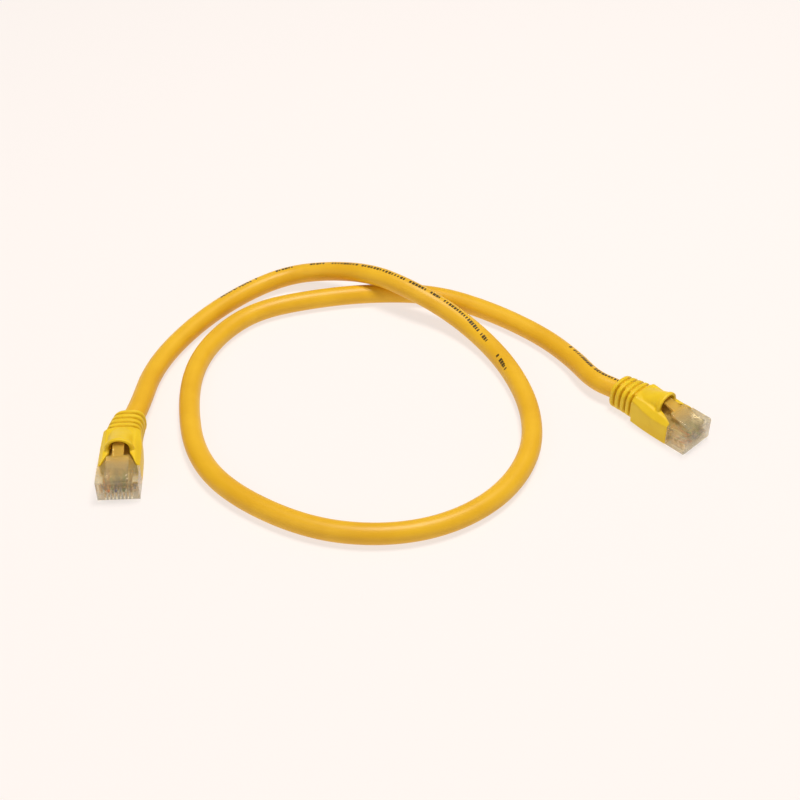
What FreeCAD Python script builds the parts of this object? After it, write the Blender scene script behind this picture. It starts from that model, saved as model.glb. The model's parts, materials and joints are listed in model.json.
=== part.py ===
import FreeCAD, Part
import math
import os
from FreeCAD import Placement, Rotation, Vector

# Ethernet patch cable with two eight-way modular plugs, millimetres.
# +Z is up and the cable lies on the plane z = 0. The origin is on that plane, under the
# middle of the box that holds the two plug assemblies.
# A plug's own frame has its nose face at x = 0, the body behind it at negative x,
# y to the left when looking out along the nose, and z measured up from the floor.

# Eight-way plug
PLUG_WIDTH = 11.68
PLUG_HEIGHT = 6.60
PLUG_LENGTH = 21.46
PLUG_LIFT = 0.80              # the boot's floor holds the plug's underside off the table
NECK_WIDTH = 10.20            # the body narrows where the boot wraps it
NECK_BOTTOM = 1.40
COLLAR_WIDTH = 7.50           # last stretch of the plug, inside the boot's ribbed tail
COLLAR_START = 19.50
COLLAR_BOTTOM = 1.70
COLLAR_TOP = 7.20
NOSE_CHAMFER = 0.40
PIN_COUNT = 8
PIN_PITCH = 1.02
WIRE_END = 0.90               # the wires stop this far short of the nose face
ROW_HEIGHT = 3.90             # axis height of the flat row of wires
ENTRY_TOP = 6.50              # roof of the hollow where the wires fan out

# Contacts
BLADE_THICK = 0.35
BLADE_FRONT = 1.20
BLADE_BACK = 5.40
BLADE_BOTTOM = 1.35
BLADE_SHOULDER = 2.75
PRONG_TOP = 4.05
PRONG_LENGTH = 0.75
PRONG_COUNT = 3
SLOT_CLEARANCE = 0.05
SLOT_FRONT = 0.60             # the slots that hold the contacts start this far behind the nose
SLOT_OVERLAP = 0.10           # they break this far into the wire row

# Load bar that spaces the wires
BAR_FRONT = 7.00
BAR_BACK = 10.00
BAR_WIDTH = 8.60
BAR_HEIGHT = 1.80
FIT = 0.02

# Latch, hinged at the top of the nose
LATCH_AXIS_BACK = 0.95
LATCH_AXIS_HEIGHT = 7.85
LATCH_THICK = 0.70
LATCH_LENGTH = 13.25
LATCH_SHOULDER = 7.35
LATCH_WIDE = 6.20
LATCH_NARROW = 3.20
LATCH_SLOPE = 13.5
CATCH_LENGTH = 1.80
CATCH_DROP = 0.30

# Boot: a sleeve round the plug's neck and a ribbed tail
BOOT_FRONT = 6.90
BOOT_TAIL = 19.50
BOOT_REAR = 28.50
BOOT_WIDTH = 11.80
BOOT_HEIGHT = 8.20
BOOT_RADIUS = 1.10
TAIL_WIDTH = 10.00
TAIL_HEIGHT = 9.20
TAIL_RADIUS = 3.40
GROOVE_DEPTH = 0.80
RIB_COUNT = 5
RIB_SHARE = 0.56              # part of each pitch that is rib rather than groove
MOUTH = 11.00
CHANNEL_HALF = 2.60
CHANNEL_BACK = 16.50
CHEEK_HALF = 5.00             # half-width of the window between the boot's two cheeks
RIDGE_INNER = 3.65
RIDGE_SHOULDER = 4.35
RIDGE_OUTER = 5.40
RIDGE_FRONT = 11.30
RIDGE_ROOT = 7.60
RIDGE_TOP = 10.20
RIDGE_SHOULDER_TOP = 10.00

# Hood over the latch's free end
HOOD_AXIS_BACK = 18.70
HOOD_AXIS_HEIGHT = 8.75
HOOD_BEAD = 0.35              # radius of the rounded rear edge that the hood turns on
HOOD_HALF = 3.40
HOOD_INNER_HALF = 2.65
HOOD_TOP = 12.90
HOOD_WALL = 0.75
HOOD_CREST_BACK = 14.60
HOOD_REAR = 18.70
HOOD_REAR_TOP = 10.40
HOOD_REAR_BOTTOM = 8.45
HOOD_MOUTH_BOTTOM = 11.30

# Cable
JACKET_DIAMETER = 6.00
JACKET_BORE = 4.90
CABLE_AXIS = 4.60             # axis height where the cable leaves a boot
JACKET_FLAT_WIDTH = 6.90      # the jacket is squashed where the plug grips it
JACKET_FLAT_HEIGHT = 5.00
JACKET_END = 15.40
FLAT_END = 21.50
ROUND_START = 24.50
INSULATION_DIAMETER = 0.86
CORE_DIAMETER = 0.50
BUNDLE_PITCH = 0.52
BUNDLE_RISE = 0.60
FAN_FRONT = 12.00
FAN_BACK = 15.50
ARC_SHARE = 0.45              # share of the shorter run that each arc takes
PAST = 1.0                    # cutting shapes run this far past the faces they open

# Where the plugs lie, as nose position and heading in degrees
PLUG_A = (-79.3, -22.9, -87.0)
PLUG_B = (82.3, -0.8, -46.0)
FIRST_RUN = 10.0
LAST_RUN = 8.0

# The cable's route over the table between the straight runs out of the two boots
ROUTE = [
    (-78.0, 32.0, 3.0), (-66.5, 53.0, 3.0), (-53.5, 69.0, 4.0), (-39.0, 76.5, 7.5),
    (-24.5, 77.0, 12.0), (-10.5, 72.0, 15.0), (0.5, 64.5, 15.0), (12.0, 56.0, 12.0),
    (22.5, 45.5, 7.5), (31.0, 30.0, 4.0), (36.0, 12.0, 3.0), (35.0, -6.0, 3.0),
    (26.0, -23.0, 3.0), (10.5, -34.5, 3.0), (-8.0, -38.5, 3.0), (-28.0, -35.5, 3.0),
    (-49.0, -22.0, 3.0), (-60.0, -6.0, 3.0), (-64.5, 15.5, 3.0), (-64.0, 33.0, 3.0),
    (-58.0, 48.0, 3.0), (-48.0, 59.0, 3.0), (-33.5, 65.5, 3.0), (-13.5, 69.5, 3.0),
    (8.0, 68.0, 3.0), (25.0, 60.0, 3.0), (41.0, 47.5, 3.0), (50.0, 36.0, 3.0),
]

WIRE_NAMES = [
    "white_orange", "orange", "white_green", "blue",
    "white_blue", "green", "white_brown", "brown",
]
UP = Vector(0, 0, 1)
PLUG_TOP = PLUG_LIFT + PLUG_HEIGHT


def block(back, front, half_width, bottom, top):
    """Box between two distances behind the nose, centred on y = 0."""
    return Part.makeBox(back - front, 2 * half_width, top - bottom,
                        Vector(-back, -half_width, bottom))


def rounded_block(back, front, half_width, bottom, top, radius):
    """Box whose four edges along x are rounded."""
    solid = block(back, front, half_width, bottom, top)
    long_edges = [edge for edge in solid.Edges if abs(edge.tangentAt(0).x) > 0.99]
    return solid.makeFillet(radius, long_edges)


def prism_x(outline, back, front):
    """Solid of an outline of (y, z) points, between two distances behind the nose."""
    points = [Vector(-back, y, z) for y, z in outline]
    face = Part.Face(Part.makePolygon(points + points[:1]))
    return face.extrude(Vector(back - front, 0, 0))


def prism_y(outline, half_width):
    """Solid of an outline of (x, z) points, centred on y = 0."""
    points = [Vector(x, -half_width, z) for x, z in outline]
    face = Part.Face(Part.makePolygon(points + points[:1]))
    return face.extrude(Vector(0, 2 * half_width, 0))


def prism_z(outline, bottom, top):
    """Solid of an outline of (x, y) points, between two heights."""
    points = [Vector(x, y, bottom) for x, y in outline]
    face = Part.Face(Part.makePolygon(points + points[:1]))
    return face.extrude(Vector(0, 0, top - bottom))


def plug_envelope():
    """Outside of the plug body with no hollows: nose, neck and rear collar."""
    nose = block(BOOT_FRONT, 0, PLUG_WIDTH / 2, PLUG_LIFT, PLUG_TOP)
    rim = [edge for edge in nose.Edges if edge.BoundBox.XMin > -0.01]
    nose = nose.makeChamfer(NOSE_CHAMFER, rim)
    neck = block(COLLAR_START, BOOT_FRONT, NECK_WIDTH / 2, NECK_BOTTOM, PLUG_TOP)
    collar = block(PLUG_LENGTH, COLLAR_START, COLLAR_WIDTH / 2, COLLAR_BOTTOM, COLLAR_TOP)
    return nose.fuse([neck, collar]).removeSplitter()


def pin_offset(index):
    """Sideways place of a contact, the first one at the right of the latch side."""
    return (index - (PIN_COUNT - 1) / 2) * PIN_PITCH


def blade(index):
    """One gold contact: a flat blade with prongs that pierce the wire above it."""
    y = pin_offset(index)
    half = BLADE_THICK / 2
    body = block(BLADE_BACK, BLADE_FRONT, half, BLADE_BOTTOM, BLADE_SHOULDER)
    step = (BLADE_BACK - BLADE_FRONT - PRONG_LENGTH) / (PRONG_COUNT - 1)
    prongs = []
    for number in range(PRONG_COUNT):
        front = BLADE_FRONT + number * step
        prongs.append(block(front + PRONG_LENGTH, front, half, BLADE_SHOULDER, PRONG_TOP))
    shape = body.fuse(prongs).removeSplitter()
    shape.translate(Vector(0, y, 0))
    return shape


def jacket_bore(half_width, half_height, back, front):
    """Elliptical rod on the cable's axis inside a plug."""
    ellipse = Part.Ellipse(Vector(-back, 0, CABLE_AXIS), half_width, half_height)
    turned = ellipse.toShape()
    turned.rotate(Vector(-back, 0, CABLE_AXIS), Vector(0, 0, 1), 90)
    turned.rotate(Vector(-back, 0, CABLE_AXIS), Vector(0, 1, 0), 90)
    return Part.Face(Part.Wire([turned])).extrude(Vector(back - front, 0, 0))


def plug_body():
    """Clear body: envelope less the contact slots, wire row, bar pocket and cable entry."""
    row_half = (PIN_COUNT - 1) / 2 * PIN_PITCH + INSULATION_DIAMETER / 2 + FIT
    row_bottom = ROW_HEIGHT - INSULATION_DIAMETER / 2 - FIT
    row_top = ROW_HEIGHT + INSULATION_DIAMETER / 2 + FIT
    hollows = [block(BAR_FRONT + PAST, WIRE_END, row_half, row_bottom, row_top)]
    for index in range(PIN_COUNT):
        slot = block(BLADE_BACK + SLOT_CLEARANCE, SLOT_FRONT,
                     BLADE_THICK / 2 + SLOT_CLEARANCE, PLUG_LIFT - PAST, row_bottom + SLOT_OVERLAP)
        slot.translate(Vector(0, pin_offset(index), 0))
        hollows.append(slot)
    bar_bottom = ROW_HEIGHT - BAR_HEIGHT / 2
    bar_top = ROW_HEIGHT + BAR_HEIGHT / 2
    hollows.append(block(JACKET_END, BAR_FRONT, BAR_WIDTH / 2, bar_bottom, bar_top))
    hollows.append(block(JACKET_END, BAR_BACK, BAR_WIDTH / 2, bar_bottom, ENTRY_TOP))
    hollows.append(jacket_bore(JACKET_FLAT_WIDTH / 2, JACKET_FLAT_HEIGHT / 2,
                               PLUG_LENGTH + PAST, JACKET_END))
    body = plug_envelope()
    for hollow in hollows:
        body = body.cut(hollow)
    return body.removeSplitter()


def load_bar():
    """Guide with one hole for each wire."""
    bar = block(BAR_BACK, BAR_FRONT, BAR_WIDTH / 2, ROW_HEIGHT - BAR_HEIGHT / 2,
                ROW_HEIGHT + BAR_HEIGHT / 2)
    for index in range(PIN_COUNT):
        start = Vector(-BAR_BACK - PAST, pin_offset(index), ROW_HEIGHT)
        hole = Part.makeCylinder(INSULATION_DIAMETER / 2 + FIT, BAR_BACK - BAR_FRONT + 2 * PAST,
                                 start, Vector(1, 0, 0))
        bar = bar.cut(hole)
    return bar


def latch():
    """Spring latch: wide to its shoulders, a catch under them, and a narrow free end."""
    x = -LATCH_AXIS_BACK
    z = LATCH_AXIS_HEIGHT
    half = LATCH_THICK / 2
    outline = [(x, z - half), (x, z + half), (x - LATCH_LENGTH, z + half),
               (x - LATCH_LENGTH, z - half)]
    strip = prism_y(outline, LATCH_WIDE / 2)
    side_width = (LATCH_WIDE - LATCH_NARROW) / 2
    for side in (-1, 1):
        near_edge = side * (LATCH_WIDE + LATCH_NARROW) / 4 - side_width / 2
        notch = Part.makeBox(LATCH_LENGTH, side_width, LATCH_THICK + 2 * PAST,
                             Vector(x - LATCH_SHOULDER - LATCH_LENGTH, near_edge, z - half - PAST))
        strip = strip.cut(notch)
    root = Part.makeCylinder(half, LATCH_WIDE, Vector(x, -LATCH_WIDE / 2, z), Vector(0, 1, 0))
    catch_back = x - LATCH_SHOULDER
    catch = prism_y([(catch_back, z), (catch_back, z - half - CATCH_DROP),
                     (catch_back + CATCH_LENGTH / 3, z - half - CATCH_DROP),
                     (catch_back + CATCH_LENGTH, z - half), (catch_back + CATCH_LENGTH, z)],
                    LATCH_WIDE / 2)
    shape = strip.fuse([root, catch]).removeSplitter()
    shape.rotate(Vector(x, 0, z), Vector(0, 1, 0), LATCH_SLOPE)
    return shape


def tail():
    """Ribbed strain relief: a core with raised ribs evenly spaced along it."""
    length = BOOT_REAR - BOOT_TAIL
    core = rounded_block(BOOT_REAR, BOOT_TAIL, TAIL_WIDTH / 2 - GROOVE_DEPTH, GROOVE_DEPTH,
                         TAIL_HEIGHT - GROOVE_DEPTH, TAIL_RADIUS - GROOVE_DEPTH)
    pitch = length / (RIB_COUNT - 1 + RIB_SHARE)
    ribs = []
    for number in range(RIB_COUNT):
        back = BOOT_REAR - number * pitch
        ribs.append(rounded_block(back, back - pitch * RIB_SHARE, TAIL_WIDTH / 2, 0,
                                  TAIL_HEIGHT, TAIL_RADIUS))
    return core.fuse(ribs)


def boot(envelope, jacket_rod):
    """Soft boot: sleeve, side ridges and ribbed tail, open over the latch's free end."""
    sleeve = rounded_block(BOOT_TAIL, BOOT_FRONT, BOOT_WIDTH / 2, 0, BOOT_HEIGHT, BOOT_RADIUS)
    ridges = []
    for side in (-1, 1):
        outline = [(side * RIDGE_INNER, RIDGE_ROOT), (side * RIDGE_INNER, RIDGE_TOP),
                   (side * RIDGE_SHOULDER, RIDGE_SHOULDER_TOP), (side * RIDGE_OUTER, RIDGE_ROOT)]
        ridges.append(prism_x(outline, BOOT_TAIL, RIDGE_FRONT))
    shape = sleeve.fuse(ridges + [tail()])
    right_edge = [(-BOOT_FRONT + PAST, -CHEEK_HALF), (-BOOT_FRONT, -CHEEK_HALF),
                  (-MOUTH, -CHANNEL_HALF), (-CHANNEL_BACK, -CHANNEL_HALF)]
    left_edge = [(x, -y) for x, y in reversed(right_edge)]
    window = prism_z(right_edge + left_edge, PLUG_TOP, HOOD_TOP)
    for tool in (window, envelope, jacket_rod):
        shape = shape.cut(tool)
    return shape.removeSplitter()


def arch(half_width, top, back, front):
    """Half-round topped bar, for the hood's outside and inside."""
    spring = top - half_width
    lower = block(back, front, half_width, PLUG_TOP - PAST, spring)
    crown = Part.makeCylinder(half_width, back - front, Vector(-back, 0, spring), Vector(1, 0, 0))
    return lower.fuse(crown).removeSplitter()


def hood():
    """Arched flap over the latch's free end, open towards the nose."""
    shell = arch(HOOD_HALF, HOOD_TOP, HOOD_REAR, MOUTH)
    profile = [(-MOUTH, HOOD_MOUTH_BOTTOM), (-MOUTH, HOOD_TOP), (-HOOD_CREST_BACK, HOOD_TOP),
               (-HOOD_REAR, HOOD_REAR_TOP), (-HOOD_REAR, HOOD_REAR_BOTTOM)]
    shell = shell.common(prism_y(profile, HOOD_HALF))
    inside = arch(HOOD_INNER_HALF, HOOD_TOP - HOOD_WALL, HOOD_REAR - HOOD_WALL, MOUTH - PAST)
    room = [(-MOUTH + PAST, PLUG_TOP), (-MOUTH + PAST, HOOD_TOP),
            (-HOOD_CREST_BACK, HOOD_TOP - HOOD_WALL),
            (-HOOD_REAR + HOOD_WALL, HOOD_REAR_TOP - HOOD_WALL), (-HOOD_REAR + HOOD_WALL, PLUG_TOP)]
    inside = inside.common(prism_y(room, HOOD_HALF))
    bead = Part.makeCylinder(HOOD_BEAD, 2 * HOOD_HALF,
                             Vector(-HOOD_AXIS_BACK, -HOOD_HALF, HOOD_AXIS_HEIGHT), Vector(0, 1, 0))
    return shell.cut(inside).fuse(bead).removeSplitter()


def rounded_path(points):
    """Straight runs joined by tangent arcs, with the arcs' radii."""
    edges = []
    radii = []
    start = points[0]
    for before, corner, after in zip(points, points[1:], points[2:]):
        run_in = corner.sub(before)
        run_out = after.sub(corner)
        half_turn = run_in.getAngle(run_out) / 2
        reach = ARC_SHARE * min(run_in.Length, run_out.Length)
        radius = reach / math.tan(half_turn)
        run_in.normalize()
        run_out.normalize()
        arc_start = corner.sub(run_in * reach)
        arc_end = corner.add(run_out * reach)
        inward = run_out.sub(run_in)
        inward.normalize()
        arc_middle = corner.add(inward * (radius / math.cos(half_turn) - radius))
        edges.append(Part.LineSegment(start, arc_start).toShape())
        edges.append(Part.Arc(arc_start, arc_middle, arc_end).toShape())
        radii.append(radius)
        start = arc_end
    edges.append(Part.LineSegment(start, points[-1]).toShape())
    return Part.Wire(edges), radii


def sweep(points, diameter):
    """Round rod along a rounded path."""
    path, _ = rounded_path(points)
    direction = points[1].sub(points[0])
    circle = Part.Wire([Part.makeCircle(diameter / 2, points[0], direction)])
    return path.makePipeShell([circle], True, False)


def plug_placement(plug):
    """Placement of a plug's own frame on the table."""
    x, y, heading = plug
    return Placement(Vector(x, y, 0), Rotation(UP, heading))


def cable_points():
    """Corners of the cable's centre line from one boot's rear face to the other."""
    first = plug_placement(PLUG_A)
    last = plug_placement(PLUG_B)
    points = [first.multVec(Vector(-BOOT_REAR, 0, CABLE_AXIS)),
              first.multVec(Vector(-BOOT_REAR - FIRST_RUN, 0, CABLE_AXIS))]
    points += [Vector(*corner) for corner in ROUTE]
    points += [last.multVec(Vector(-BOOT_REAR - LAST_RUN, 0, CABLE_AXIS)),
               last.multVec(Vector(-BOOT_REAR, 0, CABLE_AXIS))]
    return points


def gripped_end(scale_width, scale_height, diameter):
    """Cable end inside a plug: a squashed stretch, a blend and a short round stretch."""
    flat = jacket_bore(scale_width / 2, scale_height / 2, FLAT_END, JACKET_END)
    flat_rim = min(flat.Faces, key=lambda face: face.CenterOfMass.x).OuterWire
    circle = Part.makeCircle(diameter / 2, Vector(-ROUND_START, 0, CABLE_AXIS), Vector(1, 0, 0))
    blend = Part.makeLoft([Part.Wire([circle]), flat_rim], True)
    straight = Part.makeCylinder(diameter / 2, BOOT_REAR - ROUND_START,
                                 Vector(-BOOT_REAR, 0, CABLE_AXIS), Vector(1, 0, 0))
    return flat.fuse([blend, straight])


def moved(shape, placement):
    """Copy of a shape in a plug's frame, placed on the table."""
    result = shape.copy()
    result.Placement = placement.multiply(result.Placement)
    return result


def jacket(placements):
    """Whole jacket: the swept tube and its two squashed ends."""
    tube = sweep(cable_points(), JACKET_DIAMETER).cut(sweep(cable_points(), JACKET_BORE))
    wall = JACKET_DIAMETER - JACKET_BORE
    outside = gripped_end(JACKET_FLAT_WIDTH, JACKET_FLAT_HEIGHT, JACKET_DIAMETER)
    inside = gripped_end(JACKET_FLAT_WIDTH - wall, JACKET_FLAT_HEIGHT - wall, JACKET_BORE)
    end = outside.cut(inside)
    return tube.fuse([moved(end, placement) for placement in placements]).removeSplitter()


def wire_points(index):
    """Corners of one wire, from its end in plug A to its end in plug B."""
    first = plug_placement(PLUG_A)
    last = plug_placement(PLUG_B)
    side = pin_offset(index)
    gathered = side * BUNDLE_PITCH / PIN_PITCH
    rise = BUNDLE_RISE if index % 2 == 0 else -BUNDLE_RISE
    points = [first.multVec(Vector(-WIRE_END, side, ROW_HEIGHT)),
              first.multVec(Vector(-FAN_FRONT, side, ROW_HEIGHT)),
              first.multVec(Vector(-FAN_BACK, gathered, CABLE_AXIS + rise))]
    corners = cable_points()
    last_turn = len(corners) - 4
    for number in range(1, len(corners) - 1):
        run_in = corners[number].sub(corners[number - 1])
        run_out = corners[number + 1].sub(corners[number])
        along = run_in.normalize().add(run_out.normalize())
        left = UP.cross(along)
        left.normalize()
        above = along.cross(left)
        above.normalize()
        roll = math.pi * min(max((number - 1) / last_turn, 0), 1)
        across = -gathered * math.cos(roll) - rise * math.sin(roll)
        over = -gathered * math.sin(roll) + rise * math.cos(roll)
        points.append(corners[number].add(left * across).add(above * over))
    points += [last.multVec(Vector(-FAN_BACK, gathered, CABLE_AXIS - rise)),
               last.multVec(Vector(-FAN_FRONT, side, ROW_HEIGHT)),
               last.multVec(Vector(-WIRE_END, side, ROW_HEIGHT))]
    return points


def export(name, shape):
    """Write one node and print what it holds."""
    shape.exportStep("parts/" + name + ".step")
    box = shape.BoundBox
    print(f"{name:28s} solids {len(shape.Solids)} valid {shape.isValid()} volume {shape.Volume:9.2f}"
          f"  x {box.XMin:.2f} {box.XMax:.2f}  y {box.YMin:.2f} {box.YMax:.2f}"
          f"  z {box.ZMin:.2f} {box.ZMax:.2f}")


def build_plug(letter, placement):
    """Export one plug assembly and return its placed contacts."""
    envelope = plug_envelope()
    jacket_rod = gripped_end(JACKET_FLAT_WIDTH, JACKET_FLAT_HEIGHT, JACKET_DIAMETER)
    pieces = {
        "plug_body": plug_body(),
        "load_bar": load_bar(),
        "latch": latch(),
        "boot": boot(envelope, jacket_rod),
        "hood": hood(),
    }
    for name, shape in pieces.items():
        export(f"{name}_{letter}", moved(shape, placement))
    contacts = [moved(blade(index), placement) for index in range(PIN_COUNT)]
    for index, contact in enumerate(contacts):
        export(f"contact_{letter}{index + 1}", contact)
    return contacts


def report_route():
    """Print the arcs' radii, and the tube's volume against section times length."""
    path, radii = rounded_path(cable_points())
    tube = sweep(cable_points(), JACKET_DIAMETER)
    section = math.pi * (JACKET_DIAMETER / 2) ** 2
    print("arc radii", " ".join(f"{radius:.1f}" for radius in radii))
    print(f"free length {path.Length:.1f}  volume {tube.Volume:.0f}  section x length"
          f" {section * path.Length:.0f}")


def main():
    os.makedirs("parts", exist_ok=True)
    report_route()
    placements = [plug_placement(PLUG_A), plug_placement(PLUG_B)]
    contacts = []
    for letter, placement in zip("ab", placements):
        contacts.append(build_plug(letter, placement))
    export("cable_jacket", jacket(placements))
    for index, name in enumerate(WIRE_NAMES):
        core = sweep(wire_points(index), CORE_DIAMETER)
        insulation = sweep(wire_points(index), INSULATION_DIAMETER).cut(core)
        for row in contacts:
            core = core.cut(row[index])
            insulation = insulation.cut(row[index])
        export("wire_" + name, insulation)
        export("core_" + name, core)


main()
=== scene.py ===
import json
import math

import bmesh
import bpy
import numpy as np
from mathutils import Matrix, Vector


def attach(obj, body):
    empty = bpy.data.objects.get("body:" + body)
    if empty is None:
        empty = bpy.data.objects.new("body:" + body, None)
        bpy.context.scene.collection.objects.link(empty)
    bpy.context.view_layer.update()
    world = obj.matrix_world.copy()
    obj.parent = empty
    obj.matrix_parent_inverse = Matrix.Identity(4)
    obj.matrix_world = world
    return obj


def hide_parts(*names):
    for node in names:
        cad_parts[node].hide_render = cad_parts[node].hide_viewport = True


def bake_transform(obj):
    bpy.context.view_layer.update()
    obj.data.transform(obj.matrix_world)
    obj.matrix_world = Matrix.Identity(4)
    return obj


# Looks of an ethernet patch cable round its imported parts, in metres.
# A plug's own frame, in millimetres, has its nose face at x = 0, the body behind it at
# negative x, y to the left when looking out along the nose, and z up from the floor.

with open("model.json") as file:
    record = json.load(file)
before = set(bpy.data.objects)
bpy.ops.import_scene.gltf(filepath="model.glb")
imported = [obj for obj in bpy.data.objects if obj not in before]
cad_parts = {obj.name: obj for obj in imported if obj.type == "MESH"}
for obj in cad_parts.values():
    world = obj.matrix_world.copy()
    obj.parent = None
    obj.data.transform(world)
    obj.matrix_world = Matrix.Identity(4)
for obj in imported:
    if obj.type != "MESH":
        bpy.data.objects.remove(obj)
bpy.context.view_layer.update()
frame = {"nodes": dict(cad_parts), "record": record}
MM = 0.001
ROOT = "cable_and_plugs"
UP = np.array([0.0, 0.0, 1.0])

# Cable, in metres
JACKET_DIAMETER = 0.0060
JACKET_WALL = 0.00055
CABLE_AXIS = 4.6              # height of the cable's axis in the plugs, in millimetres
WIRE_END = 0.9                # distances behind the nose, in millimetres
JACKET_END = 15.4
FLAT_END = 21.5
ROUND_START = 24.5
BOOT_REAR = 28.5
FIRST_RUN = 5.0
LAST_RUN = 8.0
STRAIGHT_END = 19.0           # where the soft tails of the boots begin to bend
TAIL_BENDS = {"a": 1.3, "b": -0.7}    # how far each tail's end has bent to the plug's left
FLAT_HALVES = (0.00345, 0.0025)   # half-width and half-height where the plug grips the jacket
PAIR_SWELL = 0.007            # share of the jacket's radius by which the pairs inside show

# The cable's route between the straight runs out of the two boots
ROUTE = [
    (-0.0763, 0.0320, 0.0030), (-0.0665, 0.0520, 0.0030), (-0.0532, 0.0680, 0.0031),
    (-0.0390, 0.0775, 0.0038), (-0.0245, 0.0762, 0.0066), (-0.0107, 0.0702, 0.0096),
    (0.0006, 0.0627, 0.0093), (0.0122, 0.0563, 0.0060), (0.0228, 0.0456, 0.0036),
    (0.0313, 0.0302, 0.0030), (0.0360, 0.0120, 0.0030), (0.0350, -0.0060, 0.0030),
    (0.0260, -0.0230, 0.0030), (0.0105, -0.0345, 0.0030), (-0.0080, -0.0385, 0.0030),
    (-0.0280, -0.0352, 0.0030), (-0.0492, -0.0220, 0.0030), (-0.0602, -0.0064, 0.0030),
    (-0.0645, 0.0155, 0.0030), (-0.0640, 0.0330, 0.0030), (-0.0580, 0.0480, 0.0030),
    (-0.0480, 0.0592, 0.0030), (-0.0335, 0.0648, 0.0030), (-0.0135, 0.0688, 0.0030),
    (0.0080, 0.0685, 0.0030), (0.0252, 0.0600, 0.0030), (0.0410, 0.0475, 0.0030),
    (0.0502, 0.0358, 0.0030),
]

# Wires in pin order, with their colours and the colour of their stripe or of themselves
WHITE = (0.80, 0.76, 0.68)
ORANGE = (0.80, 0.22, 0.03)
GREEN = (0.03, 0.26, 0.07)
BLUE = (0.03, 0.09, 0.42)
BROWN = (0.16, 0.06, 0.025)
WIRES = [
    ("white_orange", WHITE, ORANGE), ("orange", ORANGE, ORANGE), ("white_green", WHITE, GREEN),
    ("blue", BLUE, BLUE), ("white_blue", WHITE, BLUE), ("green", GREEN, GREEN),
    ("white_brown", WHITE, BROWN), ("brown", BROWN, BROWN),
]
PAIR_OF_PIN = [0, 0, 1, 2, 2, 1, 3, 3]
PAIR_LAYS = [0.0128, 0.0116, 0.0142, 0.0134]   # length of one twist of each pair
CABLE_LAY = 0.090             # length in which the four pairs go once round each other
PIN_PITCH = 0.00102
ROW_HEIGHT = 3.9              # height of the row of wires in a plug, in millimetres
FAN_FRONT = 12.0              # the wires fan out from pairs to the row between these distances
FAN_BACK = 17.5
GRIP_SPREAD = 0.15            # how much wider and lower the bundle is where the plug grips it
INSULATION_DIAMETER = 0.00086
CORE_DIAMETER = 0.00050
PAIR_REACH = 1.36 * INSULATION_DIAMETER    # from the cable's line to a pair's middle
PAIR_ARM = 0.51 * INSULATION_DIAMETER      # from a pair's middle to each of its wires
STRIPE_PITCH = 0.006
STRIPE_SHARE = 0.30
WIRE_SIDES = 10
CORE_SIDES = 6


def plug_frame(letter):
    """Matrix from a plug's own frame in millimetres to the row frame."""
    mount = next(m for m in frame["record"]["mounts"] if m["name"] == f"plug_{letter}_nose_face")
    heading = math.atan2(mount["axis"][1], mount["axis"][0])
    place = Matrix.Translation((mount["pos_m"][0], mount["pos_m"][1], 0))
    return place @ Matrix.Rotation(heading, 4, "Z") @ Matrix.Scale(MM, 4)


PLUGS = {letter: plug_frame(letter) for letter in "ab"}


def tail_bend(letter, back):
    """How far a boot's soft tail, with the cable in it, has moved to the left at a distance."""
    share = np.maximum(back - STRAIGHT_END, 0) / (BOOT_REAR - STRAIGHT_END)
    return TAIL_BENDS[letter] * share ** 2


def on_axis(letter, back, height=CABLE_AXIS):
    """Point in the row frame on a plug's middle plane, which bends with the boot's tail."""
    return PLUGS[letter] @ Vector((-back, tail_bend(letter, back), height))


# ---------------------------------------------------------------- materials

def new_material(name, colour, roughness, **sockets):
    """Material with one Principled shader; its other sockets are given by name."""
    made = bpy.data.materials.new(name)
    made.use_nodes = True
    shader = made.node_tree.nodes["Principled BSDF"]
    shader.inputs["Base Color"].default_value = (*colour, 1)
    shader.inputs["Roughness"].default_value = roughness
    for socket, value in sockets.items():
        shader.inputs[socket.replace("_", " ")].default_value = value
    return made


def add_node(made, kind, **values):
    """Node with its properties and inputs set by name."""
    node = made.node_tree.nodes.new(kind)
    for name, value in values.items():
        if hasattr(node, name):
            setattr(node, name, value)
        else:
            node.inputs[name.replace("_", " ")].default_value = value
    return node


def link(made, start, end):
    made.node_tree.links.new(start, end)


def noise(made, scale, detail=3.0, roughness=0.55):
    """Noise over the object's own coordinates, with scale in features per metre."""
    place = add_node(made, "ShaderNodeTexCoord")
    node = add_node(made, "ShaderNodeTexNoise", Scale=scale, Detail=detail, Roughness=roughness)
    link(made, place.outputs["Object"], node.inputs["Vector"])
    return node.outputs["Fac"]


def mixed(made, share, first, second):
    """Colour between two colours or colour outputs by a share."""
    node = add_node(made, "ShaderNodeMix", data_type="RGBA")
    link(made, share, node.inputs["Factor"])
    sockets = [s for s in node.inputs if s.type == "RGBA"]
    for value, socket in zip((first, second), sockets):
        if isinstance(value, tuple):
            socket.default_value = (*value, 1)
        else:
            link(made, value, socket)
    return [s for s in node.outputs if s.type == "RGBA"][0]


def ramp(made, value, low, high):
    """0 below low, 1 above high, and smooth between them."""
    node = add_node(made, "ShaderNodeMapRange", interpolation_type="SMOOTHSTEP")
    node.inputs["From Min"].default_value = low
    node.inputs["From Max"].default_value = high
    link(made, value, node.inputs["Value"])
    return node.outputs["Result"]


def math_node(made, operation, first, second=None):
    """Result of a math operation on outputs or numbers."""
    node = add_node(made, "ShaderNodeMath", operation=operation)
    for value, socket in zip((first, second), node.inputs):
        if value is None:
            continue
        if isinstance(value, (int, float)):
            socket.default_value = value
        else:
            link(made, value, socket)
    return node.outputs["Value"]


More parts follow.
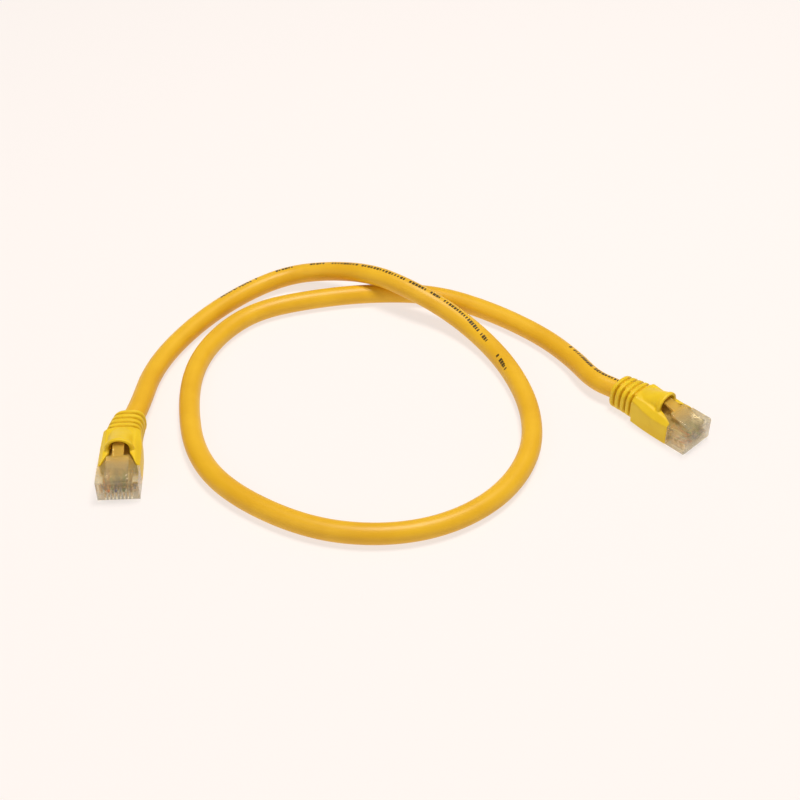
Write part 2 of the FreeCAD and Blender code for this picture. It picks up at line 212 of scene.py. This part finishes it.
def scaled(made, value, factor, offset):
    """Output times a factor, plus an offset."""
    node = add_node(made, "ShaderNodeMath", operation="MULTIPLY_ADD")
    link(made, value, node.inputs[0])
    node.inputs[1].default_value = factor
    node.inputs[2].default_value = offset
    return node.outputs["Value"]


def set_bump(made, height, strength, distance):
    node = add_node(made, "ShaderNodeBump", Strength=strength, Distance=distance)
    link(made, height, node.inputs["Height"])
    link(made, node.outputs["Normal"], made.node_tree.nodes["Principled BSDF"].inputs["Normal"])


def set_input(made, name, output):
    link(made, output, made.node_tree.nodes["Principled BSDF"].inputs[name])


def attribute(made, name):
    return add_node(made, "ShaderNodeAttribute", attribute_name=name).outputs["Fac"]


STROKE_PITCH = 0.00105                  # of the dashes of ink along the jacket, in metres
STROKE_WIDTHS = (0.40, 0.90)            # thinnest and widest dash, as shares of the pitch
STROKE_HALVES = (0.00046, 0.00064)      # half-heights of the thinnest and widest dash
STROKE_GAPS = 0.12                      # share of the dashes that are left out
GROUP_PITCH = 0.0058
GROUP_GAPS = 0.18                       # share of the groups that are left out


def chance_of(made, along, pitch):
    """Random value for each stretch of the jacket of one pitch."""
    node = add_node(made, "ShaderNodeTexWhiteNoise", noise_dimensions="1D")
    link(made, math_node(made, "FLOOR", math_node(made, "DIVIDE", along, pitch)), node.inputs["W"])
    return node.outputs["Value"]


def print_marks(made):
    """Mask of the ink line along the jacket: plain upright dashes in uneven groups."""
    along = attribute(made, "along")
    within = math_node(made, "FRACT", math_node(made, "DIVIDE", along, STROKE_PITCH))
    stroke = chance_of(made, along, STROKE_PITCH)
    width = scaled(made, stroke, STROKE_WIDTHS[1] - STROKE_WIDTHS[0], STROKE_WIDTHS[0])
    half_height = scaled(made, stroke, STROKE_HALVES[1] - STROKE_HALVES[0], STROKE_HALVES[0])
    marks = math_node(made, "LESS_THAN", within, width)
    near = math_node(made, "LESS_THAN", attribute(made, "print_offset"), half_height)
    marks = math_node(made, "MULTIPLY", marks, near)
    shown = math_node(made, "GREATER_THAN", chance_of(made, along, GROUP_PITCH), GROUP_GAPS)
    kept = math_node(made, "GREATER_THAN", stroke, STROKE_GAPS)
    return math_node(made, "MULTIPLY", marks, math_node(made, "MULTIPLY", shown, kept))


def jacket_material():
    made = new_material("jacket_pvc", (0.80, 0.42, 0.010), 0.45, Specular_IOR_Level=0.35)
    patches = ramp(made, noise(made, 60), 0.3, 0.7)
    yellow = mixed(made, patches, (0.75, 0.400, 0.010), (0.83, 0.475, 0.018))
    ink = math_node(made, "MULTIPLY", print_marks(made), 0.93)
    set_input(made, "Base Color", mixed(made, ink, yellow, (0.03, 0.02, 0.008)))
    set_input(made, "Roughness", scaled(made, noise(made, 900), 0.14, 0.34))
    set_bump(made, noise(made, 1500, 4), 0.22, 0.00006)
    return made


def boot_material():
    made = new_material("boot_pvc", (0.82, 0.55, 0.012), 0.46, Subsurface_Weight=0.06,
                        Subsurface_Radius=(0.0012, 0.0008, 0.0003), Subsurface_Scale=1.0,
                        Specular_IOR_Level=0.35)
    patches = ramp(made, noise(made, 140), 0.3, 0.7)
    yellow = mixed(made, patches, (0.79, 0.515, 0.009), (0.85, 0.580, 0.015))
    # Painted shade: the grooves between the tail's ribs are darkened towards a deep orange-brown.
    groove = math_node(made, "MULTIPLY", attribute(made, "groove"), 0.75)
    set_input(made, "Base Color", mixed(made, groove, yellow, (0.52, 0.25, 0.006)))
    set_input(made, "Roughness", scaled(made, noise(made, 1600), 0.16, 0.38))
    set_bump(made, noise(made, 2600, 4), 0.25, 0.00005)
    return made


CLEAR = (0.91, 0.82, 0.52)
# Painted bounce light: the yellow that the boot throws into the clear plastic, put into its colour as
# amber
BOOT_BOUNCE_AMBER = (0.92, 0.58, 0.07)
CLEAR_TRANSMISSION = 0.85
BOUNCE_LOSS = 0.50              # how much less of the light goes through where the boot's bounce light is painted in as amber


def clear_material():
    """Clear plastic with the boot's yellow bounce light painted in: amber and less clear towards the
    boot.
    """
    made = new_material("clear_polycarbonate", CLEAR, 0.10, IOR=1.48, Alpha=0.68,
                        Transmission_Weight=CLEAR_TRANSMISSION)
    boot_bounce = attribute(made, "painted_boot_bounce")
    # Painted bounce light: towards the boot the colour turns amber and less light goes through.
    set_input(made, "Base Color", mixed(made, boot_bounce, CLEAR, BOOT_BOUNCE_AMBER))
    set_input(made, "Transmission Weight", scaled(made, boot_bounce, -BOUNCE_LOSS, CLEAR_TRANSMISSION))
    set_input(made, "Roughness", scaled(made, noise(made, 700), 0.10, 0.04))
    set_bump(made, noise(made, 420, 2), 0.12, 0.00008)
    return made


def milky_material():
    made = new_material("milky_polycarbonate", (0.80, 0.74, 0.62), 0.28, Transmission_Weight=0.3,
                        IOR=1.45, Alpha=0.75)
    set_bump(made, noise(made, 1200), 0.15, 0.00005)
    return made


def metal_material(name, light, dark, roughness):
    """Metal with faint streaks and small changes of gloss."""
    made = new_material(name, light, roughness, Metallic=1.0)
    set_input(made, "Base Color", mixed(made, ramp(made, noise(made, 1800), 0.3, 0.7), dark, light))
    set_input(made, "Roughness", scaled(made, noise(made, 2600), 0.2, roughness - 0.1))
    set_bump(made, noise(made, 5200), 0.15, 0.00002)
    return made


def wire_material(name, base, stripe):
    """Insulation with a spiral of its stripe colour."""
    made = new_material("insulation_" + name, base, 0.38)
    share = math_node(made, "LESS_THAN", attribute(made, "stripe"), STRIPE_SHARE)
    flecks = ramp(made, noise(made, 1500), 0.35, 0.65)
    shade = mixed(made, flecks, tuple(0.92 * c for c in base), base)
    set_input(made, "Base Color", mixed(made, share, shade, stripe))
    set_bump(made, noise(made, 3000), 0.12, 0.00003)
    return made


MATERIALS = {
    "jacket": jacket_material(),
    "boot": boot_material(),
    "clear": clear_material(),
    "milky": milky_material(),
    "gold": metal_material("gold_plate", (0.83, 0.60, 0.23), (0.70, 0.47, 0.16), 0.26),
    "copper": metal_material("bare_copper", (0.80, 0.40, 0.22), (0.66, 0.30, 0.16), 0.34),
}


# ---------------------------------------------------------------- mesh helpers

def new_piece(name, vertices, faces, material=None):
    """Smooth-shaded mesh object from vertices and faces."""
    mesh = bpy.data.meshes.new(name)
    mesh.from_pydata([tuple(v) for v in vertices], [], [tuple(f) for f in faces])
    mesh.validate()
    piece = bpy.data.objects.new(name, mesh)
    bpy.context.scene.collection.objects.link(piece)
    if material is not None:
        mesh.materials.append(material)
    mesh.polygons.foreach_set("use_smooth", [True] * len(mesh.polygons))
    return piece


def grid_faces(rings, sides, first=0, flip=False):
    """Quads of a tube of rings, each with so many sides."""
    faces = []
    for ring in range(rings - 1):
        for side in range(sides):
            after = (side + 1) % sides
            low, high = first + ring * sides, first + (ring + 1) * sides
            quad = (low + side, low + after, high + after, high + side)
            faces.append(quad[::-1] if flip else quad)
    return faces


def apply_modifiers(piece):
    """Replace a piece's mesh with its evaluated one."""
    graph = bpy.context.evaluated_depsgraph_get()
    made = bpy.data.meshes.new_from_object(piece.evaluated_get(graph))
    piece.modifiers.clear()
    piece.data = made


def face_outwards(piece):
    """Turn every face of a closed piece outwards."""
    bm = bmesh.new()
    bm.from_mesh(piece.data)
    bmesh.ops.recalc_face_normals(bm, faces=bm.faces)
    bm.to_mesh(piece.data)
    bm.free()


def loft(name, sections):
    """Closed solid through sections, each a distance along x and its (y, z) outline."""
    count = len(sections[0][1])
    vertices = [(x, y, z) for x, outline in sections for y, z in outline]
    faces = grid_faces(len(sections), count)
    faces.append(tuple(range(count))[::-1])
    faces.append(tuple((len(sections) - 1) * count + i for i in range(count)))
    piece = new_piece(name, vertices, faces)
    face_outwards(piece)
    return piece


def rounded_outline(half_width, bottom, top, power, count=56):
    """Superellipse outline: the higher the power, the squarer its corners."""
    middle, half_height = (bottom + top) / 2, (top - bottom) / 2
    outline = []
    for number in range(count):
        angle = 2 * math.pi * number / count
        c, s = math.cos(angle), math.sin(angle)
        y = half_width * math.copysign(abs(c) ** (2 / power), c)
        z = middle + half_height * math.copysign(abs(s) ** (2 / power), s)
        outline.append((y, z))
    return outline


def arch_outline(half_width, crown, top, bottom, count=28):
    """Upright legs with an elliptical crown over them."""
    outline = [(half_width, bottom)]
    for number in range(count + 1):
        angle = math.pi * number / count
        outline.append((half_width * math.cos(angle), top - crown + crown * math.sin(angle)))
    outline.append((-half_width, bottom))
    return outline


def box_outline(half_width, bottom, top):
    return [(half_width, bottom), (half_width, top), (-half_width, top), (-half_width, bottom)]


# ---------------------------------------------------------------- cable line

def spline_line(points, step):
    """Evenly spaced points of the NURBS spline whose control points are given."""
    curve = bpy.data.curves.new("route", "CURVE")
    curve.dimensions = "3D"
    curve.resolution_u = 24
    spline = curve.splines.new("NURBS")
    spline.points.add(len(points) - 1)
    for place, point in zip(spline.points, points):
        place.co = (*point, 1)
    spline.order_u = 3
    spline.use_endpoint_u = True
    carrier = bpy.data.objects.new("route", curve)
    bpy.context.scene.collection.objects.link(carrier)
    mesh = bpy.data.meshes.new_from_object(carrier)
    line = np.array([v.co for v in mesh.vertices])
    bpy.data.objects.remove(carrier)
    along = np.concatenate([[0], np.cumsum(np.linalg.norm(np.diff(line, axis=0), axis=1))])
    even = np.linspace(0, along[-1], int(along[-1] / step) + 1)
    return even, np.stack([np.interp(even, along, line[:, i]) for i in range(3)], axis=1)


def directions(line):
    """Sideways and upward unit vectors along a line, the first to the left of travel."""
    ahead = np.gradient(line, axis=0)
    ahead /= np.linalg.norm(ahead, axis=1)[:, None]
    left = np.cross(UP, ahead)
    left /= np.linalg.norm(left, axis=1)[:, None]
    return left, np.cross(ahead, left)


def control_points():
    """The route with the straight stretches inside the boots and plugs at its ends."""
    inside = (WIRE_END, JACKET_END, STRAIGHT_END, BOOT_REAR)
    start = [on_axis("a", back) for back in (*inside, BOOT_REAR + FIRST_RUN)]
    end = [on_axis("b", back) for back in (BOOT_REAR + LAST_RUN, *inside[::-1])]
    return start + [Vector(point) for point in ROUTE] + end


STEP = 0.0009
ALONG, LINE = spline_line(control_points(), STEP)
LEFT, OVER = directions(LINE)
TOTAL = ALONG[-1]
FROM_END = np.minimum(ALONG, TOTAL - ALONG) / MM + WIRE_END    # distance behind the nearer nose


def smooth_step(value, low, high):
    share = np.clip((value - low) / (high - low), 0, 1)
    return share * share * (3 - 2 * share)


def set_attribute(piece, name, values):
    made = piece.data.attributes.new(name, "FLOAT", "POINT")
    made.data.foreach_set("value", np.asarray(values, np.float32))


# ---------------------------------------------------------------- jacket

INK_TILTS = [      # share of the cable's length, and the ink line's tilt to the left of its top
    (0.00, 40), (0.15, 24), (0.18, 14), (0.21, 7), (0.25, 0), (0.283, 4), (0.298, 2),
    (0.305, -4), (0.314, -16), (0.327, -29), (0.348, -47), (0.45, -150), (0.80, -300),
    (0.91, -344), (1.00, -350),
]
LEGENDS = [(0.15, 0.348), (0.912, 0.96)]    # stretches of the jacket that are printed
NO_INK = 0.01                               # offset from the ink line where nothing is printed
JACKET_SIDES = 40


def jacket():
    """Hollow jacket, squashed where the plugs grip it, with the pairs inside showing faintly."""
    inside = FROM_END >= JACKET_END - 0.001
    along, line, left, over = ALONG[inside], LINE[inside], LEFT[inside], OVER[inside]
    grip = 1 - smooth_step(FROM_END[inside], FLAT_END, ROUND_START)
    radius = JACKET_DIAMETER / 2
    angles = np.linspace(0, 2 * math.pi, JACKET_SIDES, endpoint=False)
    shares, tilts = zip(*INK_TILTS)
    tilt = np.radians(np.interp(along / TOTAL, shares, tilts))
    printed = np.zeros(len(along), bool)
    for start, end in LEGENDS:
        printed |= (along > start * TOTAL) & (along < end * TOTAL)
    shells, offsets = [], []
    for shrink in (0, JACKET_WALL):
        half_width = radius + (FLAT_HALVES[0] - radius) * grip - shrink
        half_height = radius + (FLAT_HALVES[1] - radius) * grip - shrink
        lay = 2 * math.pi * along[:, None] / CABLE_LAY
        swell = 1 + PAIR_SWELL * np.cos(len(PAIR_LAYS) * angles[None, :] - lay)
        side = half_width[:, None] * np.cos(angles)[None, :] * swell
        rise = half_height[:, None] * np.sin(angles)[None, :] * swell
        shells.append(line[:, None, :] + left[:, None, :] * side[:, :, None]
                      + over[:, None, :] * rise[:, :, None])
        gap = (math.pi / 2 - angles[None, :] - tilt[:, None] + math.pi) % (2 * math.pi) - math.pi
        offsets.append(np.abs(gap) * radius + np.where(printed & (shrink == 0), 0, NO_INK)[:, None])
    rings = len(along)
    vertices = np.concatenate([shell.reshape(-1, 3) for shell in shells])
    inner = rings * JACKET_SIDES
    faces = grid_faces(rings, JACKET_SIDES, flip=True) + grid_faces(rings, JACKET_SIDES, inner)
    for ring, flip in ((0, False), (rings - 1, True)):
        for side in range(JACKET_SIDES):
            after = (side + 1) % JACKET_SIDES
            first = ring * JACKET_SIDES
            quad = (first + side, inner + first + side, inner + first + after, first + after)
            faces.append(quad[::-1] if flip else quad)
    piece = new_piece("cable_jacket_skin", vertices, faces, MATERIALS["jacket"])
    set_attribute(piece, "along", np.tile(np.repeat(along, JACKET_SIDES), 2))
    set_attribute(piece, "print_offset", np.concatenate([o.ravel() for o in offsets]))
    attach(piece, ROOT)
    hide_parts("cable_jacket")
    return piece, line


# ---------------------------------------------------------------- wires

def wire_offsets(pin):
    """Sideways and upward offsets of one wire from the cable's line, in metres."""
    row_side = (pin - (len(WIRES) - 1) / 2) * PIN_PITCH
    pair = PAIR_OF_PIN[pin]
    first_of_pair = PAIR_OF_PIN.index(pair) == pin
    pair_angle = 2 * math.pi * ALONG / CABLE_LAY + math.pi * (0.25 + 0.5 * pair)
    twist = 2 * math.pi * ALONG / PAIR_LAYS[pair] + (0 if first_of_pair else math.pi)
    bundle_side = PAIR_REACH * np.cos(pair_angle) + PAIR_ARM * np.cos(twist)
    bundle_rise = PAIR_REACH * np.sin(pair_angle) + PAIR_ARM * np.sin(twist)
    grip = 1 - smooth_step(FROM_END, FLAT_END, ROUND_START)
    bundle_side *= 1 + GRIP_SPREAD * grip
    bundle_rise *= 1 - GRIP_SPREAD * grip
    fan = smooth_step(FROM_END, FAN_FRONT, FAN_BACK)
    facing = np.where(ALONG < TOTAL / 2, -1.0, 1.0)
    row_rise = (ROW_HEIGHT - CABLE_AXIS) * MM
    return (facing * row_side * (1 - fan) + bundle_side * fan,
            row_rise * (1 - fan) + bundle_rise * fan)


def wire(name, node, pin, diameter, sides, material):
    """Solid round wire along the cable, from its end in one plug to its end in the other."""
    side, rise = wire_offsets(pin)
    centre = LINE + LEFT * side[:, None] + OVER * rise[:, None]
    left, over = directions(centre)
    every = slice(None, None, 1 if diameter > CORE_DIAMETER else 2)    # cores are hidden, so coarser
    centre, left, over, along = centre[every], left[every], over[every], ALONG[every]
    angles = np.linspace(0, 2 * math.pi, sides, endpoint=False)
    ring = (left[:, None, :] * np.cos(angles)[None, :, None]
            + over[:, None, :] * np.sin(angles)[None, :, None]) * diameter / 2
    vertices = (centre[:, None, :] + ring).reshape(-1, 3)
    faces = grid_faces(len(centre), sides, flip=True)
    faces.append(tuple(range(sides)))
    faces.append(tuple((len(centre) - 1) * sides + i for i in range(sides))[::-1])
    piece = new_piece(name, vertices, faces, material)
    turn = (angles[None, :] / (2 * math.pi) + along[:, None] / STRIPE_PITCH) % 1
    set_attribute(piece, "stripe", np.abs(turn - 0.5).ravel() * 2)
    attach(piece, ROOT)
    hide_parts(node)
    return piece


def wires():
    made = []
    for pin, (name, base, stripe) in enumerate(WIRES):
        insulation = wire_material(name, base, stripe)
        skin = wire(f"wire_{name}_skin", f"wire_{name}", pin, INSULATION_DIAMETER, WIRE_SIDES,
                    insulation)
        core = wire(f"core_{name}_strand", f"core_{name}", pin, CORE_DIAMETER, CORE_SIDES,
                    MATERIALS["copper"])
        made += [skin, core]
    return made


# ---------------------------------------------------------------- boot

BOOT_FRONT = 6.9              # distances behind the nose, in millimetres
MOUTH = 11.6
TAIL_FRONT = 19.5
PLUG_TOP = 7.4
RIBS = 5
RIB_SHARE = 0.62
GROOVE_DEPTH = 1.35
GROOVE_SPREAD = 1.2           # how much wider a groove is than the gap between two ribs
GROOVE_SQUARENESS = 0.6
FLAT_EDGE = (0.7, 1.5)        # heights between which the grooves begin over the flat lower edge
TOP_EDGE = (8.6, 9.2)         # heights between which they grow shallower
TOP_SHALLOWNESS = 0.45
GROOVED_RADII = (3.3, 4.0)    # distances from the cable's axis, so that the cable's room keeps its wall
VOXEL = 0.18
SMOOTH_PASSES = 2

# Sections of the boot by x: the sleeve's half-width, the height of the crease along its side,
# the half-width and height of its shoulder, and its top
SLEEVE = [
    (-BOOT_FRONT, 5.75, 7.0, 5.1, 8.00, 8.15), (-7.6, 5.92, 6.9, 5.0, 8.10, 8.30),
    (-9.5, 5.92, 6.8, 4.6, 8.30, 8.50), (-12.5, 5.88, 6.8, 4.5, 8.50, 8.70),
    (-16.0, 5.70, 7.3, 4.1, 8.90, 9.10), (-20.2, 5.25, 8.3, 4.3, 9.20, 9.40),
]
# The tail's half-width, bottom, top and squareness, and the hood's half-width, crown and top
TAIL = [
    (-18.4, 5.3, 0.0, 9.5, 4.0), (-20.0, 5.15, 0.0, 9.45, 3.4), (-24.0, 4.9, 0.0, 9.25, 3.0),
    (-28.0, 4.6, 0.0, 9.1, 2.8), (-BOOT_REAR, 4.3, 0.3, 8.8, 2.8),
]
HOOD = [
    (-MOUTH, 4.00, 3.8, 12.70), (-12.3, 4.20, 3.9, 12.75), (-12.7, 3.85, 3.7, 12.60),
    (-13.3, 3.40, 3.4, 12.35), (-14.6, 3.30, 3.3, 11.90), (-16.2, 3.75, 3.6, 11.20),
    (-17.4, 4.50, 3.8, 10.60), (-20.2, 4.80, 3.9, 9.50),
]
HOOD_LEGS = 6.0               # height at which the hood's upright legs end inside the sleeve
# What is cut out of the boot: each cutter starts or ends clear of the skin it cuts
CUT_FRONT = -4.0
HOOD_FLOOR = PLUG_TOP - 0.5
NECK_FLOOR = 1.4
WINDOW_TOP = 10.5
NECK_ROOM = [(CUT_FRONT, 5.1), (-15.0, 5.0), (-19.2, 4.4)]       # x and half-width
WINDOW = [(CUT_FRONT, 5.3), (-BOOT_FRONT + 0.33, 5.05), (-MOUTH + 0.55, 2.93)]
HOOD_ROOM = [(CUT_FRONT, 2.85, 2.65, 12.0), (-MOUTH, 2.85, 2.65, 12.0), (-14.4, 2.65, 2.6, 11.5),
             (-17.8, 2.5, 2.0, 9.7)]                             # as HOOD
COLLAR_ENDS = (-18.0, -21.46)
COLLAR_ROOM = (3.75, 1.7, 7.2)                                   # half-width, bottom and top
CABLE_ENDS = (-20.0, -30.0)
CABLE_ROOM = (3.0, 1.6, 7.6, 2.0)                                # and squareness


def sleeve_outline(half_width, crease, shoulder, shoulder_height, top):
    """Upright sides up to a crease, then slopes up to the shoulders and the top."""
    side = [(half_width - 0.7, 0.0), (half_width - 0.15, 0.5), (half_width, crease),
            (shoulder, shoulder_height), (shoulder - 0.6, top)]
    return side + [(-y, z) for y, z in side[::-1]]


def boot_outside():
    """Sleeve, tail and hood melted into one moulding."""
    whole = joined([
        loft("sleeve", [(x, sleeve_outline(*values)) for x, *values in SLEEVE]),
        loft("tail", [(x, rounded_outline(*values)) for x, *values in TAIL]),
        loft("hood", [(x, arch_outline(w, crown, top, HOOD_LEGS)) for x, w, crown, top in HOOD]),
    ])
    remesh(whole)
    return whole


def joined(parts):
    """One object that holds the meshes of several."""
    bm = bmesh.new()
    for part in parts:
        bm.from_mesh(part.data)
    parts[0].data.clear_geometry()
    bm.to_mesh(parts[0].data)
    bm.free()
    for part in parts[1:]:
        bpy.data.objects.remove(part)
    return parts[0]


def remesh(piece):
    """Melt a piece's overlapping solids into one skin and smooth it."""
    melt = piece.modifiers.new("melt", "REMESH")
    melt.mode = "VOXEL"
    melt.voxel_size = VOXEL
    calm = piece.modifiers.new("calm", "SMOOTH")
    calm.factor = 0.5
    calm.iterations = SMOOTH_PASSES
    apply_modifiers(piece)


def coordinates(piece):
    co = np.zeros(len(piece.data.vertices) * 3, np.float32)
    piece.data.vertices.foreach_get("co", co)
    return co.reshape(-1, 3).astype(float)


def set_coordinates(piece, co):
    piece.data.vertices.foreach_set("co", co.astype(np.float32).ravel())
    piece.data.update()


def press_grooves(piece):
    """Push the skin in between the tail's ribs, but not along its flat lower edge."""
    co = coordinates(piece)
    pitch = (BOOT_REAR - TAIL_FRONT) / (RIBS - 1 + RIB_SHARE)
    groove = pitch * (1 - RIB_SHARE) * GROOVE_SPREAD
    depth = np.zeros(len(co))
    for number in range(RIBS - 1):
        centre = -BOOT_REAR + pitch * (number + 0.5 + RIB_SHARE / 2)
        near = np.clip(1 - np.abs(co[:, 0] - centre) / (groove / 2), 0, 1)
        depth += np.sin(near * math.pi / 2) ** GROOVE_SQUARENESS * GROOVE_DEPTH
    depth *= smooth_step(co[:, 2], *FLAT_EDGE)
    depth *= 1 - TOP_SHALLOWNESS * smooth_step(co[:, 2], *TOP_EDGE)
    depth *= smooth_step(np.hypot(co[:, 1], co[:, 2] - CABLE_AXIS), *GROOVED_RADII)
    inward = np.stack([np.zeros(len(co)), -co[:, 1], CABLE_AXIS - co[:, 2]], axis=1)
    inward /= np.maximum(np.linalg.norm(inward, axis=1), 1e-6)[:, None]
    set_coordinates(piece, co + inward * depth[:, None])
    # The groove depth is also kept as the mask of the painted shade in the grooves.
    set_attribute(piece, "groove", np.clip(depth / GROOVE_DEPTH, 0, 1))


def boot_hollows():
    """Solids that are cut out of the boot: plug, cable, window for the latch, and hood."""
    return [
        loft("neck_room", [(x, box_outline(half, NECK_FLOOR, PLUG_TOP)) for x, half in NECK_ROOM]),
        loft("collar_room", [(x, box_outline(*COLLAR_ROOM)) for x in COLLAR_ENDS]),
        loft("cable_room", [(x, rounded_outline(*CABLE_ROOM)) for x in CABLE_ENDS]),
        loft("window", [(x, box_outline(half, HOOD_FLOOR, WINDOW_TOP)) for x, half in WINDOW]),
        loft("hood_room", [(x, arch_outline(w, crown, top, HOOD_FLOOR))
                           for x, w, crown, top in HOOD_ROOM]),
    ]


def boot_master():
    """Boot and hood in the plug's frame, in millimetres."""
    whole = boot_outside()
    for hollow in boot_hollows():
        cut = whole.modifiers.new("cut", "BOOLEAN")
        cut.operation = "DIFFERENCE"
        cut.solver = "EXACT"
        cut.object = hollow
        apply_modifiers(whole)
        bpy.data.objects.remove(hollow)
    remesh(whole)
    press_grooves(whole)
    return whole


def boots():
    master = boot_master()
    master.data.materials.clear()
    master.data.materials.append(MATERIALS["boot"])
    for letter in "ab":
        piece = bpy.data.objects.new(f"boot_{letter}_moulding", master.data.copy())
        bpy.context.scene.collection.objects.link(piece)
        co = coordinates(piece)
        co[:, 1] += tail_bend(letter, -co[:, 0])
        set_coordinates(piece, co)
        piece.data.transform(PLUGS[letter])
        piece.data.polygons.foreach_set("use_smooth", [True] * len(piece.data.polygons))
        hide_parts(f"boot_{letter}", f"hood_{letter}")
        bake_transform(piece)
    bpy.data.objects.remove(master)


# ---------------------------------------------------------------- plugs

LATCH_SECTIONS = [   # distance behind the hinge, half-width, underside, top, on the flat strip
    (-0.45, 2.9, -0.50, 0.18), (-0.30, 3.1, -0.55, 0.30), (0.0, 3.1, -0.55, 0.36),
    (0.55, 3.1, -0.52, 0.36), (0.95, 3.1, -0.40, 0.35), (1.6, 3.1, -0.35, 0.35),
    (5.4, 3.1, -0.35, 0.35), (5.7, 3.1, -0.50, 0.35), (6.6, 3.1, -0.65, 0.35),
    (7.30, 3.1, -0.65, 0.35), (7.45, 1.7, -0.60, 0.35), (7.8, 1.6, -0.38, 0.35),
    (12.6, 1.6, -0.35, 0.35), (13.1, 1.5, -0.30, 0.30), (13.25, 1.3, -0.15, 0.15),
]
LATCH_AXIS = (-0.95, 7.85)    # x and height of the hinge
LATCH_SLOPE = math.radians(13.5)
LATCH_ROUNDING = 0.14
FLAT_ROOT = 0.9               # the latch's root lies flat up to this distance behind its hinge
BOUNCE_RANGE = (2.5, 10.0)      # distances behind the nose between which the painted bounce light from the boot comes in


def latch_point(back, side, rise):
    """Point on the latch, by its distance behind the hinge and height over its middle plane."""
    slope = 0.0 if back < FLAT_ROOT else LATCH_SLOPE
    c, s = math.cos(slope), math.sin(slope)
    return (LATCH_AXIS[0] - back * c - rise * s, side, LATCH_AXIS[1] + back * s + rise * c)


def set_painted_boot_bounce(piece, letter):
    """Mark how much of its boot's painted yellow bounce light each point of a clear piece gets."""
    to_plug = np.array(PLUGS[letter].inverted() @ piece.matrix_world)
    back = -(coordinates(piece) @ to_plug[0, :3] + to_plug[0, 3])
    set_attribute(piece, "painted_boot_bounce", smooth_step(back, *BOUNCE_RANGE))


def latches():
    """Spring latches whose roots are one with the nose of the plug."""
    for letter in "ab":
        vertices = []
        for back, half, low, high in LATCH_SECTIONS:
            for side, rise in ((half, low), (half, high), (-half, high), (-half, low)):
                vertices.append(latch_point(back, side, rise))
        faces = grid_faces(len(LATCH_SECTIONS), 4)
        faces.append((3, 2, 1, 0))
        last = 4 * (len(LATCH_SECTIONS) - 1)
        faces.append((last, last + 1, last + 2, last + 3))
        piece = new_piece(f"latch_{letter}_lever", vertices, faces, MATERIALS["clear"])
        face_outwards(piece)
        soften = piece.modifiers.new("soften", "BEVEL")
        soften.width = LATCH_ROUNDING
        soften.segments = 3
        soften.limit_method = "ANGLE"
        soften.angle_limit = math.radians(40)
        apply_modifiers(piece)
        piece.data.transform(PLUGS[letter])
        # Mask of the painted bounce light from the boot
        set_painted_boot_bounce(piece, letter)
        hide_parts(f"latch_{letter}")
        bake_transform(piece)


def cad_finishes():
    """Better materials on the CAD nodes that stay."""
    for name, node in frame["nodes"].items():
        for start, material in (("plug_body", "clear"), ("load_bar", "milky"), ("contact", "gold")):
            if name.startswith(start):
                node.data.materials.clear()
                node.data.materials.append(MATERIALS[material])
    # The clear plug bodies get the mask of the painted bounce light from their boots.
    for letter in "ab":
        set_painted_boot_bounce(frame["nodes"][f"plug_body_{letter}"], letter)


# ---------------------------------------------------------------- stage

HORIZON = 0.81                # strength of the backdrop near the horizon, and of the sky over it
SKY = 0.24
HORIZON_FADE = (0.10, 0.32)   # upward share of the direction between which one goes over to the other
FLOOR_HALF = 40.0
CAMERA_PLACE = (-0.0023, -0.3067, 0.2840)
CAMERA_TILT = 49              # degrees up from straight down
LIGHTS_AIM = (0, 0.02, 0)


def floor():
    corners = [(x * FLOOR_HALF, y * FLOOR_HALF, 0) for x, y in ((-1, -1), (1, -1), (1, 1), (-1, 1))]
    ground = new_material("pale_floor", (0.26, 0.245, 0.235), 0.9, Specular_IOR_Level=0.05,
                          Emission_Color=(1.0, 0.930, 0.890, 1), Emission_Strength=0.72)
    piece = new_piece("floor", corners, [(0, 1, 2, 3)], ground)


def area_light(name, place, aim, size, power, colour):
    light = bpy.data.lights.new(name, "AREA")
    light.shape = "DISK"
    light.size = size
    light.energy = power
    light.color = colour
    carrier = bpy.data.objects.new(name, light)
    carrier.location = place
    carrier.rotation_mode = "QUATERNION"
    carrier.rotation_quaternion = (Vector(place) - Vector(aim)).to_track_quat("Z", "Y")
    bpy.context.scene.collection.objects.link(carrier)


def studio_world():
    """Soft light from all round, brighter near the horizon, where it is the backdrop."""
    world = bpy.data.worlds.new("studio")
    world.use_nodes = True
    tree = world.node_tree
    direction = tree.nodes.new("ShaderNodeTexCoord")
    split = tree.nodes.new("ShaderNodeSeparateXYZ")
    fade = tree.nodes.new("ShaderNodeMapRange")
    fade.interpolation_type = "SMOOTHSTEP"
    fade.inputs["From Min"].default_value, fade.inputs["From Max"].default_value = HORIZON_FADE
    fade.inputs["To Min"].default_value = HORIZON
    fade.inputs["To Max"].default_value = SKY
    tree.links.new(direction.outputs["Generated"], split.inputs["Vector"])
    tree.links.new(split.outputs["Z"], fade.inputs["Value"])
    background = tree.nodes["Background"]
    background.inputs["Color"].default_value = (1.0, 0.940, 0.898, 1)
    tree.links.new(fade.outputs["Result"], background.inputs["Strength"])
    bpy.context.scene.world = world


def lights():
    studio_world()
    area_light("key", (0.12, 0.10, 0.95), LIGHTS_AIM, 0.36, 7.6, (1.0, 0.98, 0.95))
    area_light("fill", (-0.45, -0.55, 0.6), LIGHTS_AIM, 0.7, 1.3, (1.0, 0.98, 0.96))


def camera():
    lens = bpy.data.cameras.new("camera")
    lens.lens = 65.7
    lens.sensor_width = 36.0
    lens.clip_start, lens.clip_end = 0.01, 100
    carrier = bpy.data.objects.new("camera", lens)
    carrier.location = CAMERA_PLACE
    carrier.rotation_euler = (math.radians(CAMERA_TILT), 0, 0)
    bpy.context.scene.collection.objects.link(carrier)
    bpy.context.scene.camera = carrier
    bpy.context.scene.view_settings.view_transform = "Standard"


camera()
lights()
floor()
skin, jacket_line = jacket()
strands = wires()
boots()
latches()
cad_finishes()
